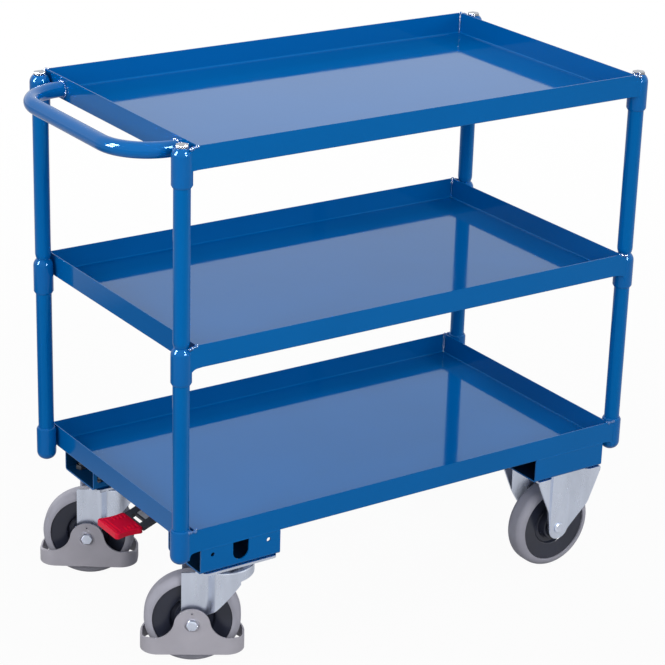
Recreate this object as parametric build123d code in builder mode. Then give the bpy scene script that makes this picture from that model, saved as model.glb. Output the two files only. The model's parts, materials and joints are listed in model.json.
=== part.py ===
from build123d import *
from math import acos, atan2, cos, degrees, radians, sin, sqrt
import os

# Shelf trolley: three welded trays on bolted posts, a push handle, two fixed castors at the +X end
# and two swivel castors with one foot brake at the handle end. Millimetres, +Z up, floor at Z = 0.

# Trays
tray_length = 850.0
tray_width = 493.0
tray_wall = 38.5
tray_sheet = 1.5
tray_bend = 2.0
tray_corner = 2.0
lower_pitch = 316.0
upper_pitch = 318.7
ear_root = 24.0
ear_slope = 10.0
lower_ear_slope = 2.0
top_ear_rounding = 3.0
middle_ear_rounding = 14.0
lower_ear_rounding = 10.5

# Posts, the sleeves welded to the tray corners, and their bolts
post_outset = 18.65
post_inset = 15.2
tube_diameter = 26.9
tube_wall = 2.0
neck_length = 10.0
neck_depth = 2.2
sleeve_diameter = 33.7
sleeve_length = 62.0
sleeve_rise = 34.5
lower_sleeve_length = 59.5
lower_sleeve_rise = 41.0
sleeve_end = 8.0
dome_height = 13.0
dome_flat = 21.0
lower_dome_flat = 17.0
mouth_height = 4.0
mouth_wall = 1.0
plug_length = 24.0
post_bolt_diameter = 12.0
post_bolt_hole = 13.0
post_bolt_hex = 19.0
post_bolt_head = 4.8
post_bolt_grip = 28.0
stud_reach = 20.0

# Push handle
handle_diameter = 26.0
handle_wall = 2.0
handle_reach = 87.0
handle_spacing = 370.0
handle_bend = 78.0

# Castor brackets under the lower tray
bracket_length = 150.0
bracket_width = 104.0
bracket_height = 42.5
bracket_sheet = 3.0
bracket_bend = 5.0
bracket_end_inset = 10.3
far_bracket_inset = 29.0
cutout_width = 30.0
cutout_depth = 33.0
flange_hole = 7.5
flange_hole_spacing = 105.4
flange_hole_drop = 11.5
lip_height = 12.0
lip_rounding = 6.0
tab_width = 7.0
kingpin_access = 30.0

# Castors
castor_height = 195.0
wheel_diameter = 160.0
tyre_width = 40.0
tyre_depth = 14.0
tyre_shoulder = 13.0
trail = 51.0
near_turn = -31.3
far_turn = -34.2
fixed_castor_shift = 2.5
plate_length = 138.0
plate_width = 110.0
plate_thickness = 4.0
plate_corner = 8.0
plate_bolts_x = 105.0
plate_bolts_y = 72.0
plate_bolt_diameter = 10.0
plate_bolt_hole = 10.6
plate_bolt_hex = 17.0
plate_bolt_head = 6.4
plate_nut_height = 8.0
plate_bolt_end = 4.0

# Wheels and axles
hub_half_width = 24.0
hub_boss = 25.0
hub_web = 8.0
hub_groove = 38.0
hub_dish = 13.5
hub_rim = 17.5
hub_slope = 3.0
bearing_diameter = 35.0
bearing_width = 11.0
bearing_shoulder = 3.0
axle_sleeve_diameter = 15.0
axle_bolt_diameter = 10.0
axle_bolt_hex = 17.0
axle_bolt_head = 7.0
axle_round_head = 20.0
axle_round_height = 2.8
axle_round_edge = 2.0
axle_nut_height = 8.0
axle_thread_end = 2.0

# Pressed forks
fork_gap = 51.0
fixed_fork_gap = 58.0
fork_sheet = 3.5
fork_fillet = 3.0
fork_mouth = 14.0
fork_bend = 10.0
fork_rear = 18.0
fork_end = 13.0
fork_slant = 48.7
fork_web_start = 24.0
fork_web_end = 38.0
fork_step = 5.5
fork_step_reach = 79.0
crown_radius = 50.0
crown_depth = 17.0
crown_rear = 14.0
crown_rear_drop = 10.0
fixed_fork_panel = 41.0
fixed_fork_lip_start = 44.0
fixed_fork_end = 21.0
fixed_fork_shoulder = 2.0
fixed_fork_bend = 6.0

# Swivel bearing
ball_diameter = 7.0
ball_count = 10
ball_circle = 60.0
ball_gap = 0.15
race_width = 12.0
plate_drop = 3.35
kingpin_diameter = 20.0
kingpin_flange = 32.0
kingpin_flange_height = 4.0
kingpin_head = 27.0
kingpin_head_height = 2.5
kingpin_play = 0.35

# Foot guards
guard_length = 172.0
guard_width = 77.0
guard_corner = 30.0
guard_wall = 3.5
guard_clearance = 25.0
guard_band = 29.0
guard_end_drop = 8.0
bell_rise = 54.0
bell_radius = 30.0
dip_radius = 34.0
guard_boss = 30.0
guard_dimple = 25.0
guard_dimple_depth = 2.0
guard_pin_hole = 3.2
guard_pin_height = 20.0

# Foot brake
shaft_diameter = 14.0
shaft_over_castor = 22.0
shaft_end = 10.0
cam_radius = 15.0
cam_eccentricity = 6.0
cam_width = 12.0
cam_gap = 0.4
plunger_diameter = 11.9
shoe_gap = 2.2
shoe_thickness = 6.0
shoe_span = 28.0
shoe_width = 28.0
hanger_width = 36.0
hanger_plate = 4.0
hanger_gap = 12.0
bush_wall = 2.5
bush_length = 8.0
pad_back = 68.0
pad_drop = 28.5
pad_depth = 52.0
pad_width = 74.0
pad_waist = 5.5
pad_corner = 6.0
pad_thickness = 10.0
pad_edge = 2.5
pad_rib_width = 2.5
pad_rib_height = 1.2
pad_rib_spacing = 7.0
pad_rib_length = 54.0
pad_dash_length = 12.0
pad_dash_spacing = 42.0
pad_dash_rows = 4
lever_width = 64.0
lever_window = 32.0
lever_thickness = 7.0
lever_hub = 22.0
lever_slot = 8.0
lever_edge = 4.0
lever_bar = 3.5
insert_width = 40.0
insert_thickness = 5.0
insert_length = 36.0
tongue_thickness = 5.0
tongue_gap = 1.0

# Clearances: between fixed pieces, on turning or sliding fits, and round bolts
fit_gap = 0.05
running_gap = 0.05
bolt_gap = 0.1

# Heights
lower_base = castor_height + bracket_height
middle_base = lower_base + lower_pitch
top_base = middle_base + upper_pitch
axle_height = wheel_diameter / 2
plate_under = castor_height - plate_thickness
race_under = plate_under - plate_drop
crown_top = race_under - ball_diameter - 2 * ball_gap
crown_under = crown_top - fork_sheet
shaft_height = castor_height + shaft_over_castor

# Places measured from the middle of the four posts
post_span_x = tray_length + 2 * post_outset
post_span_y = tray_width - 2 * post_inset
bracket_x = tray_length / 2 - bracket_end_inset - bracket_length / 2
near_y = -(tray_width - bracket_width) / 2
far_y = (tray_width - bracket_width) / 2 - far_bracket_inset
leg_offset = fork_gap / 2 + fork_sheet
fixed_leg_offset = fixed_fork_gap / 2 + fork_sheet
fixed_fork_lip_end = plate_length / 2
fixed_fork_spread = plate_width / 2
fixed_x = bracket_x + fixed_castor_shift
guard_half = guard_width / 2
pedal_y = (near_y + far_y) / 2
shaft_x = -bracket_x + cam_eccentricity

# The origin is under the middle of the whole object, so the posts' middle stands a little off it
handle_outer = tray_length / 2 + handle_reach + handle_diameter / 2
post_outer_x = (post_span_x + sleeve_diameter) / 2
post_outer_y = (post_span_y + sleeve_diameter) / 2
far_lean = radians(far_turn)
guard_arc_x = guard_length / 2 - guard_corner
guard_arc_y = guard_half - guard_corner
guard_reach = guard_arc_x * abs(sin(far_lean)) + guard_arc_y * cos(far_lean) + guard_corner
far_outer_y = far_y - trail * sin(far_lean) + guard_reach
centre_x = (handle_outer - post_outer_x) / 2
near_outer_y = plate_width / 2 - near_y
centre_y = (max(near_outer_y, post_outer_y) - max(far_outer_y, post_outer_y)) / 2

os.makedirs("parts", exist_ok=True)


def write(piece, label):
    piece.part.label = label
    export_step(piece.part, f"parts/{label}.step")


def level(z, x=0.0, y=0.0):
    """Horizontal plane, placed from the middle of the posts."""
    return Plane((centre_x + x, centre_y + y, z))


def upright(x, y, z):
    """Plane whose X is +X and whose Y is up, facing -Y."""
    return Plane((centre_x + x, centre_y + y, z), x_dir=(1, 0, 0), z_dir=(0, -1, 0))


class Castor:
    """Planes of one castor: its X runs from the wheel to the swivel axis, its axle points outwards."""

    def __init__(self, x, y, turn, offset):
        lean = radians(turn)
        self.forward = (cos(lean), sin(lean), 0)
        self.outward = (sin(lean), -cos(lean), 0)
        self.x = x
        self.y = y
        self.wheel_x = x - offset * cos(lean)
        self.wheel_y = y - offset * sin(lean)
        self.centre = (centre_x + self.wheel_x, centre_y + self.wheel_y, axle_height)
        self.axle = Axis(self.centre, self.outward)
        self.roll = Plane(self.centre, x_dir=self.forward, z_dir=self.outward)
        self.section = Plane(self.centre, x_dir=(0, 0, 1), z_dir=self.forward)

    def plan(self, z):
        """Horizontal plane over the wheel's centre, turned with the castor."""
        return Plane((self.centre[0], self.centre[1], z), x_dir=self.forward, z_dir=(0, 0, 1))


swivel = {
    "near": Castor(-bracket_x, near_y, near_turn, trail),
    "far": Castor(-bracket_x, far_y, far_turn, trail),
}
fixed = {
    "near": Castor(fixed_x, near_y, 0.0, 0.0),
    "far": Castor(fixed_x, far_y, 0.0, 0.0),
}
castor_places = [(castor.x, castor.y) for castor in (*swivel.values(), *fixed.values())]


# Sleeves: cups with a domed end, open end down on the two upper trays and up on the lower one
sleeve_radius = sleeve_diameter / 2
sleeve_bore = tube_diameter / 2 + fit_gap
top_sleeve_crown = top_base + sleeve_rise
middle_sleeve_crown = middle_base + sleeve_rise
lower_sleeve_mouth = lower_base + lower_sleeve_rise
lower_sleeve_crown = lower_sleeve_mouth - lower_sleeve_length


def sleeve_blank(length, flat, grow):
    """Outside of a sleeve with its mouth at the bottom, grown all round by a clearance."""
    with BuildPart() as blank:
        with BuildSketch(Plane.XZ):
            with BuildLine():
                shoulder = (sleeve_radius + grow, length - dome_height)
                crown = (flat / 2, length + grow)
                Polyline(
                    crown,
                    (0, length + grow),
                    (0, 0),
                    (sleeve_bore + mouth_wall + grow, 0),
                    (sleeve_radius + grow, mouth_height),
                    shoulder,
                )
                TangentArc(shoulder, crown, tangent=(0, 1))
            make_face()
        revolve(axis=Axis.Z)
    return blank.part


def sleeve_cup(length, flat, hole):
    with BuildPart() as cup:
        add(sleeve_blank(length, flat, 0))
        with BuildSketch():
            Circle(sleeve_bore)
        extrude(amount=length - sleeve_end, mode=Mode.SUBTRACT)
        if hole:
            with BuildSketch():
                Circle(hole / 2)
            extrude(amount=length, mode=Mode.SUBTRACT)
    return cup.part


def at_corners(piece, z, tilt=0):
    """The same piece on all four post axes."""
    with BuildPart(level(z)) as four:
        with GridLocations(post_span_x, post_span_y, 2, 2):
            add(piece, rotation=(tilt, 0, 0))
    return four


upper_cup = sleeve_cup(sleeve_length, dome_flat, post_bolt_hole)
lower_cup = sleeve_cup(lower_sleeve_length, lower_dome_flat, 0)
write(at_corners(upper_cup, top_sleeve_crown - sleeve_length), "top_sleeves")
write(at_corners(upper_cup, middle_sleeve_crown - sleeve_length), "middle_sleeves")
write(at_corners(lower_cup, lower_sleeve_mouth, 180), "lower_sleeves")


# Trays: a folded pan whose side walls run on to the corner sleeves
def tray_ears(base, rounding, slope):
    post = post_span_x / 2
    touch = post - sqrt(sleeve_radius**2 - post_inset**2)
    root = tray_length / 2 - ear_root
    with BuildPart() as ears:
        with BuildSketch(upright(0, -tray_width / 2, base)):
            with BuildLine():
                Polyline(
                    (touch - rounding, 0),
                    (root, tray_bend),
                    (root, tray_wall),
                    (tray_length / 2, tray_wall),
                    (touch, tray_wall - slope),
                    (post, tray_wall - 2 * slope),
                    (post, -rounding),
                    (touch, -rounding),
                )
                CenterArc((touch - rounding, -rounding), rounding, 0, 90)
            make_face()
        extrude(amount=-tray_sheet)
        mirror(about=Plane.YZ.offset(centre_x))
        mirror(about=Plane.XZ.offset(-centre_y))
    return ears.part


def make_tray(base, ears, sleeves, label):
    with BuildPart(level(base)) as tray:
        Box(tray_length, tray_width, tray_wall, align=(Align.CENTER, Align.CENTER, Align.MIN))
        fillet(tray.edges().filter_by(Axis.Z), tray_corner)
        fillet(tray.faces().sort_by(Axis.Z)[0].edges(), tray_bend)
        offset(amount=-tray_sheet, openings=tray.faces().sort_by(Axis.Z)[-1])
    with BuildPart() as whole:
        add(tray.part)
        add(ears)
        add(sleeves.part, mode=Mode.SUBTRACT)
    write(whole, label)


upper_blank = sleeve_blank(sleeve_length, dome_flat, fit_gap)
lower_blank = sleeve_blank(lower_sleeve_length, lower_dome_flat, fit_gap)
make_tray(
    top_base,
    tray_ears(top_base, top_ear_rounding, ear_slope),
    at_corners(upper_blank, top_sleeve_crown - sleeve_length),
    "top_tray",
)
make_tray(
    middle_base,
    tray_ears(middle_base, middle_ear_rounding, ear_slope),
    at_corners(upper_blank, middle_sleeve_crown - sleeve_length),
    "middle_tray",
)
make_tray(
    lower_base,
    tray_ears(lower_base, lower_ear_rounding, lower_ear_slope),
    at_corners(lower_blank, lower_sleeve_mouth, 180),
    "lower_tray",
)


# Posts: tubes drawn in at the foot; the upper one stands on the middle dome, the lower one in its cup
def make_posts(bottom, top, label):
    outer = tube_diameter / 2
    inner = outer - tube_wall
    length = top - bottom
    with BuildPart() as tube:
        with BuildSketch(Plane.XZ):
            with BuildLine():
                TangentArc((outer, neck_length), (outer - neck_depth, 0), tangent=(0, -1))
                TangentArc((inner, neck_length), (inner - neck_depth, 0), tangent=(0, -1))
                Line((outer - neck_depth, 0), (inner - neck_depth, 0))
                Polyline((outer, neck_length), (outer, length), (inner, length), (inner, neck_length))
            make_face()
        revolve(axis=Axis.Z)
    write(at_corners(tube.part, bottom), label)


upper_post_top = top_sleeve_crown - sleeve_end
lower_post_top = middle_sleeve_crown - sleeve_end
make_posts(middle_sleeve_crown, upper_post_top, "upper_posts")
make_posts(lower_sleeve_crown + sleeve_end, lower_post_top, "lower_posts")

# Threaded plugs pressed into the post ends that are bolted
plug_starts = (middle_sleeve_crown + neck_length, upper_post_top - plug_length, lower_post_top - plug_length)
with BuildPart() as post_plugs:
    for start in plug_starts:
        with BuildSketch(level(start)):
            with GridLocations(post_span_x, post_span_y, 2, 2):
                Circle(tube_diameter / 2 - tube_wall - fit_gap)
                Circle(post_bolt_diameter / 2 + fit_gap, mode=Mode.SUBTRACT)
        extrude(amount=plug_length)
write(post_plugs, "post_plugs")

# Hexagon bolts down through the top domes, and studs through the middle domes
with BuildPart() as post_bolts:
    with BuildSketch(level(top_sleeve_crown)):
        with GridLocations(post_span_x, post_span_y, 2, 2):
            RegularPolygon(post_bolt_hex / 2, 6, major_radius=False)
    extrude(amount=post_bolt_head)
    with BuildSketch(level(top_sleeve_crown)):
        with GridLocations(post_span_x, post_span_y, 2, 2):
            Circle(post_bolt_diameter / 2)
    extrude(amount=-post_bolt_grip)
write(post_bolts, "post_bolts")

with BuildPart() as middle_studs:
    with BuildSketch(level(middle_sleeve_crown - sleeve_end - stud_reach)):
        with GridLocations(post_span_x, post_span_y, 2, 2):
            Circle(post_bolt_diameter / 2)
    extrude(amount=sleeve_end + neck_length + 2 * stud_reach)
write(middle_studs, "middle_studs")

# Push handle: one bent tube welded to the end wall of the top tray
handle_z = top_base + tray_wall / 2
handle_root = -tray_length / 2
handle_grip = handle_root - handle_reach
with BuildPart() as handle:
    with BuildLine(level(handle_z)) as handle_path:
        FilletPolyline(
            (handle_root, handle_spacing / 2),
            (handle_grip, handle_spacing / 2),
            (handle_grip, -handle_spacing / 2),
            (handle_root, -handle_spacing / 2),
            radius=handle_bend,
        )
    with BuildSketch(Plane(handle_path.line @ 0, z_dir=handle_path.line % 0)):
        Circle(handle_diameter / 2)
        Circle(handle_diameter / 2 - handle_wall, mode=Mode.SUBTRACT)
    sweep()
write(handle, "handle")


# Castor brackets: folded channels with open ends, their flanges up against the lower tray
def make_bracket(x, castor, side, swivels, label):
    y = castor.y
    face_y = y + side * bracket_width / 2
    inner_face_y = y - side * bracket_width / 2
    across = Plane(
        (centre_x + x - bracket_length / 2, centre_y + y, castor_height),
        x_dir=(0, 1, 0),
        z_dir=(1, 0, 0),
    )
    inside_bend = bracket_bend - bracket_sheet
    with BuildPart() as bracket:
        with BuildSketch(across) as channel:
            Rectangle(bracket_width, bracket_height, align=(Align.CENTER, Align.MIN))
            fillet(channel.vertices().group_by(Axis.Y)[0], bracket_bend)
        extrude(amount=bracket_length)
        with BuildSketch(across) as hollow:
            with Locations((0, bracket_sheet)):
                Rectangle(
                    bracket_width - 2 * bracket_sheet, bracket_height, align=(Align.CENTER, Align.MIN)
                )
            fillet(hollow.vertices().group_by(Axis.Y)[0], inside_bend)
        extrude(amount=bracket_length, mode=Mode.SUBTRACT)
        with BuildSketch(level(castor_height, castor.x, y)):
            with GridLocations(plate_bolts_x, plate_bolts_y, 2, 2):
                Circle(plate_bolt_hole / 2)
            if swivels:
                Circle(kingpin_access / 2)
        extrude(amount=bracket_sheet, mode=Mode.SUBTRACT)
        if swivels:
            with BuildSketch(upright(x, face_y, lower_base)):
                with Locations((0, -cutout_depth + cutout_width / 2)):
                    Circle(cutout_width / 2)
                    Rectangle(
                        cutout_width, cutout_depth - cutout_width / 2, align=(Align.CENTER, Align.MIN)
                    )
                with GridLocations(flange_hole_spacing, 0, 2, 1):
                    with Locations((0, -flange_hole_drop)):
                        Circle(flange_hole / 2)
            extrude(amount=side * bracket_sheet, mode=Mode.SUBTRACT)
            with BuildSketch(upright(x, inner_face_y, lower_base)) as opening:
                Rectangle(
                    bracket_length - 2 * tab_width,
                    bracket_height - lip_height,
                    align=(Align.CENTER, Align.MAX),
                )
                fillet(opening.vertices().group_by(Axis.Z)[0], lip_rounding)
            extrude(amount=-side * bracket_sheet, mode=Mode.SUBTRACT)
    write(bracket, label)


for name, side in (("near", -1), ("far", 1)):
    make_bracket(-bracket_x, swivel[name], side, True, f"swivel_bracket_{name}")
    make_bracket(bracket_x, fixed[name], side, False, f"fixed_bracket_{name}")

# Bolts and nuts that hold the castor plates to the brackets
web_top = castor_height + bracket_sheet
with BuildPart() as plate_bolts:
    for x, y in castor_places:
        with BuildSketch(level(plate_under, x, y)):
            with GridLocations(plate_bolts_x, plate_bolts_y, 2, 2):
                RegularPolygon(plate_bolt_hex / 2, 6, major_radius=False)
        extrude(amount=-plate_bolt_head)
        with BuildSketch(level(plate_under, x, y)):
            with GridLocations(plate_bolts_x, plate_bolts_y, 2, 2):
                Circle(plate_bolt_diameter / 2)
        extrude(amount=plate_thickness + bracket_sheet + plate_nut_height + plate_bolt_end)
write(plate_bolts, "plate_bolts")

with BuildPart() as plate_nuts:
    for x, y in castor_places:
        with BuildSketch(level(web_top, x, y)):
            with GridLocations(plate_bolts_x, plate_bolts_y, 2, 2):
                RegularPolygon(plate_bolt_hex / 2, 6, major_radius=False)
                Circle(plate_bolt_diameter / 2 + fit_gap, mode=Mode.SUBTRACT)
        extrude(amount=plate_nut_height)
write(plate_nuts, "plate_nuts")


def plate_holes():
    """The four bolt holes of a castor plate, cut in the sketch at hand."""
    with GridLocations(plate_bolts_x, plate_bolts_y, 2, 2):
        Circle(plate_bolt_hole / 2, mode=Mode.SUBTRACT)


# Swivel bearing: top plate with its race, a hollow kingpin and the balls the fork turns on
with BuildPart() as swivel_plates:
    for castor in swivel.values():
        with BuildSketch(level(plate_under, castor.x, castor.y)):
            RectangleRounded(plate_length, plate_width, plate_corner)
            plate_holes()
            Circle(kingpin_diameter / 2 + fit_gap, mode=Mode.SUBTRACT)
        extrude(amount=plate_thickness)
        with BuildSketch(level(race_under, castor.x, castor.y)):
            Circle((ball_circle + race_width) / 2)
            Circle((ball_circle - race_width) / 2, mode=Mode.SUBTRACT)
        extrude(amount=plate_drop)
write(swivel_plates, "swivel_plates")

kingpin_bore = plunger_diameter / 2 + running_gap
kingpin_low = crown_under - kingpin_play - kingpin_flange_height
with BuildPart() as kingpins:
    for castor in swivel.values():
        with BuildSketch(level(kingpin_low, castor.x, castor.y)):
            Circle(kingpin_flange / 2)
        extrude(amount=kingpin_flange_height)
        with BuildSketch(level(kingpin_low, castor.x, castor.y)):
            Circle(kingpin_diameter / 2)
        extrude(amount=castor_height - kingpin_low)
        with BuildSketch(level(castor_height, castor.x, castor.y)):
            Circle(kingpin_head / 2)
        extrude(amount=kingpin_head_height)
        with BuildSketch(level(kingpin_low, castor.x, castor.y)):
            Circle(kingpin_bore)
        extrude(amount=castor_height + kingpin_head_height - kingpin_low, mode=Mode.SUBTRACT)
write(kingpins, "kingpins")

with BuildPart() as bearing_balls:
    for castor in swivel.values():
        with Locations(level(race_under - ball_gap - ball_diameter / 2, castor.x, castor.y)):
            with PolarLocations(ball_circle / 2, ball_count):
                Sphere(ball_diameter / 2)
write(bearing_balls, "bearing_balls")


# Swivel fork: deep-drawn crown whose skirt narrows through slanted webs into two flat legs
web_half = sqrt(crown_radius**2 - (trail - fork_web_end) ** 2)
with BuildSketch() as swivel_outline:
    with BuildLine():
        Polyline((fork_web_end, -web_half), (fork_web_start, -leg_offset), (-fork_rear, -leg_offset))
        Line((-fork_rear, -leg_offset), (-fork_rear, leg_offset))
        Polyline((-fork_rear, leg_offset), (fork_web_start, leg_offset), (fork_web_end, web_half))
        ThreePointArc((fork_web_end, web_half), (trail + crown_radius, 0), (fork_web_end, -web_half))
    make_face()
    fillet(swivel_outline.vertices().filter_by_position(Axis.X, 0, trail), fork_bend)


def make_swivel_fork(castor, label):
    bottom = axle_height - fork_end
    slant = radians(fork_slant)
    front = trail + crown_radius
    top = crown_top - axle_height
    with BuildPart() as fork:
        with BuildSketch(castor.plan(bottom)):
            add(swivel_outline.sketch)
        extrude(amount=crown_top - bottom)
        fillet(fork.faces().sort_by(Axis.Z)[-1].edges(), fork_fillet)
        with BuildSketch(castor.plan(bottom)):
            add(swivel_outline.sketch)
            offset(amount=-fork_sheet)
            with Locations((-fork_rear, 0)):
                Rectangle(fork_mouth, fork_gap)
        extrude(amount=crown_under - bottom, mode=Mode.SUBTRACT)
        with BuildSketch(castor.roll):
            with BuildLine():
                end = JernArc((-fork_rear, 0), (0, -1), fork_end, 90 + fork_slant)
                run = (fork_step_reach - (end @ 1).X) / cos(slant)
                edge = PolarLine(end @ 1, run, direction=end % 1)
                step = edge @ 1 + Vector(0, fork_step)
                Polyline(
                    edge @ 1,
                    step,
                    (front, top - crown_depth),
                    (front, top),
                    (crown_rear, top),
                    (crown_rear - crown_rear_drop, top - crown_rear_drop),
                    (-fork_rear, top - crown_rear_drop),
                    (-fork_rear, 0),
                )
            make_face()
        extrude(amount=crown_radius, both=True, mode=Mode.INTERSECT)
        with BuildSketch(castor.roll):
            Circle(axle_bolt_diameter / 2 + bolt_gap)
        extrude(amount=crown_radius, both=True, mode=Mode.SUBTRACT)
        with BuildSketch(castor.plan(crown_under)):
            with Locations((trail, 0)):
                Circle(kingpin_diameter / 2 + running_gap)
        extrude(amount=fork_sheet, mode=Mode.SUBTRACT)
    write(fork, label)


# Fixed fork: a plate on two hat-section legs cut to a taper
with BuildSketch() as fixed_outline:
    with BuildLine():
        Polyline(
            (-fixed_fork_lip_end, 0),
            (-fixed_fork_lip_end, fixed_fork_spread),
            (-fixed_fork_lip_start, fixed_fork_spread),
            (-fixed_fork_panel / 2, fixed_leg_offset),
            (fixed_fork_panel / 2, fixed_leg_offset),
            (fixed_fork_lip_start, fixed_fork_spread),
            (fixed_fork_lip_end, fixed_fork_spread),
            (fixed_fork_lip_end, 0),
        )
        mirror(about=Plane.XZ)
    make_face()
    bends = fixed_outline.vertices().filter_by_position(Axis.X, -fixed_fork_lip_start, fixed_fork_lip_start)
    fillet(bends, fixed_fork_bend)


def make_fixed_fork(castor, label):
    bottom = axle_height - fixed_fork_end
    with BuildPart() as fork:
        with BuildSketch(castor.plan(bottom)):
            add(fixed_outline.sketch)
        extrude(amount=plate_under - bottom)
        with BuildSketch(castor.plan(bottom)):
            add(fixed_outline.sketch)
            offset(amount=-fork_sheet)
            Rectangle(2 * fixed_fork_lip_end, fixed_fork_gap)
            with GridLocations(2 * fixed_fork_lip_end, 0, 2, 1):
                Rectangle(fork_mouth, 2 * (fixed_fork_spread - fork_sheet))
        extrude(amount=plate_under - bottom, mode=Mode.SUBTRACT)
        with BuildSketch(castor.roll):
            Circle(fixed_fork_end)
            with Locations((0, plate_under - axle_height)):
                Rectangle(
                    2 * fixed_fork_lip_end, fixed_fork_shoulder, align=(Align.CENTER, Align.MAX)
                )
            make_hull()
        extrude(amount=fixed_fork_spread, both=True, mode=Mode.INTERSECT)
        with BuildSketch(castor.roll):
            Circle(axle_bolt_diameter / 2 + bolt_gap)
        extrude(amount=fixed_fork_spread, both=True, mode=Mode.SUBTRACT)
        with BuildSketch(castor.plan(plate_under)):
            add(fixed_outline.sketch)
            plate_holes()
        extrude(amount=plate_thickness)
    write(fork, label)


for name, castor in swivel.items():
    make_swivel_fork(castor, f"swivel_fork_{name}")
for name, castor in fixed.items():
    make_fixed_fork(castor, f"fixed_fork_{name}")

# Wheels: a grey tyre on a dished hub with two bearings
hub_radius = wheel_diameter / 2 - tyre_depth
bearing_radius = bearing_diameter / 2
bearing_inner = hub_half_width - bearing_width


def make_wheel(castor, label):
    with BuildPart() as tyre:
        with BuildSketch(castor.section) as profile:
            with Locations((hub_radius + fit_gap, 0)):
                Rectangle(tyre_depth - fit_gap, tyre_width, align=(Align.MIN, Align.CENTER))
            fillet(profile.vertices().group_by(Axis.X)[-1], tyre_shoulder)
        revolve(axis=castor.axle)
    write(tyre, f"tyre_{label}")

    with BuildPart() as hub:
        with BuildSketch(castor.section):
            with BuildLine():
                Polyline(
                    (bearing_radius - bearing_shoulder, 0),
                    (bearing_radius - bearing_shoulder, bearing_inner),
                    (bearing_radius + fit_gap, bearing_inner),
                    (bearing_radius + fit_gap, hub_half_width),
                    (hub_boss, hub_half_width),
                    (hub_boss + hub_slope, hub_web),
                    (hub_groove - hub_slope, hub_web),
                    (hub_groove, hub_dish),
                    (hub_radius, hub_rim),
                    (hub_radius, 0),
                )
                mirror(about=Plane.XZ)
            make_face()
        revolve(axis=castor.axle)
    write(hub, f"hub_{label}")

    with BuildPart() as bearings:
        with BuildSketch(castor.section) as rings:
            with Locations((axle_sleeve_diameter / 2 + running_gap, bearing_inner)):
                Rectangle(
                    (bearing_diameter - axle_sleeve_diameter) / 2 - running_gap,
                    bearing_width,
                    align=(Align.MIN, Align.MIN),
                )
            mirror(about=Plane.XZ)
        revolve(axis=castor.axle)
    write(bearings, f"wheel_bearings_{label}")


for name, castor in swivel.items():
    make_wheel(castor, f"swivel_{name}")
for name, castor in fixed.items():
    make_wheel(castor, f"fixed_{name}")


# Axles: a spacer sleeve between the fork legs, with a bolt and nut through it
def make_axles(castors, gap, seat, heads, labels):
    sleeve_label, bolt_label, nut_label = labels
    with BuildPart() as sleeves:
        for castor in castors:
            with BuildSketch(castor.roll):
                Circle(axle_sleeve_diameter / 2)
                Circle(axle_bolt_diameter / 2 + bolt_gap, mode=Mode.SUBTRACT)
            extrude(amount=gap / 2 - fit_gap, both=True)
    write(sleeves, sleeve_label)
    with BuildPart() as bolts:
        for castor in castors:
            with Locations(castor.roll.offset(seat)):
                add(heads)
            with BuildSketch(castor.roll.offset(seat)):
                Circle(axle_bolt_diameter / 2)
            extrude(amount=-(2 * seat + axle_nut_height + axle_thread_end))
    write(bolts, bolt_label)
    with BuildPart() as nuts:
        for castor in castors:
            with BuildSketch(castor.roll.offset(-seat)):
                RegularPolygon(axle_bolt_hex / 2, 6, major_radius=False)
                Circle(axle_bolt_diameter / 2 + fit_gap, mode=Mode.SUBTRACT)
            extrude(amount=-axle_nut_height)
    write(nuts, nut_label)


with BuildPart() as hex_head:
    with BuildSketch():
        RegularPolygon(axle_bolt_hex / 2, 6, major_radius=False)
    extrude(amount=axle_bolt_head)
with BuildPart() as round_head:
    with BuildSketch():
        Circle(axle_round_head / 2)
    extrude(amount=axle_round_height)
    fillet(round_head.faces().sort_by(Axis.Z)[-1].edges(), axle_round_edge)

guard_seat = guard_half - guard_dimple_depth
for name, castor in swivel.items():
    swivel_labels = (f"axle_sleeve_swivel_{name}", f"axle_bolt_swivel_{name}", f"axle_nut_swivel_{name}")
    make_axles([castor], fork_gap, guard_seat, hex_head.part, swivel_labels)
fixed_labels = ("axle_sleeves_fixed", "axle_bolts_fixed", "axle_nuts_fixed")
make_axles(fixed.values(), fixed_fork_gap, fixed_leg_offset, round_head.part, fixed_labels)


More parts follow.
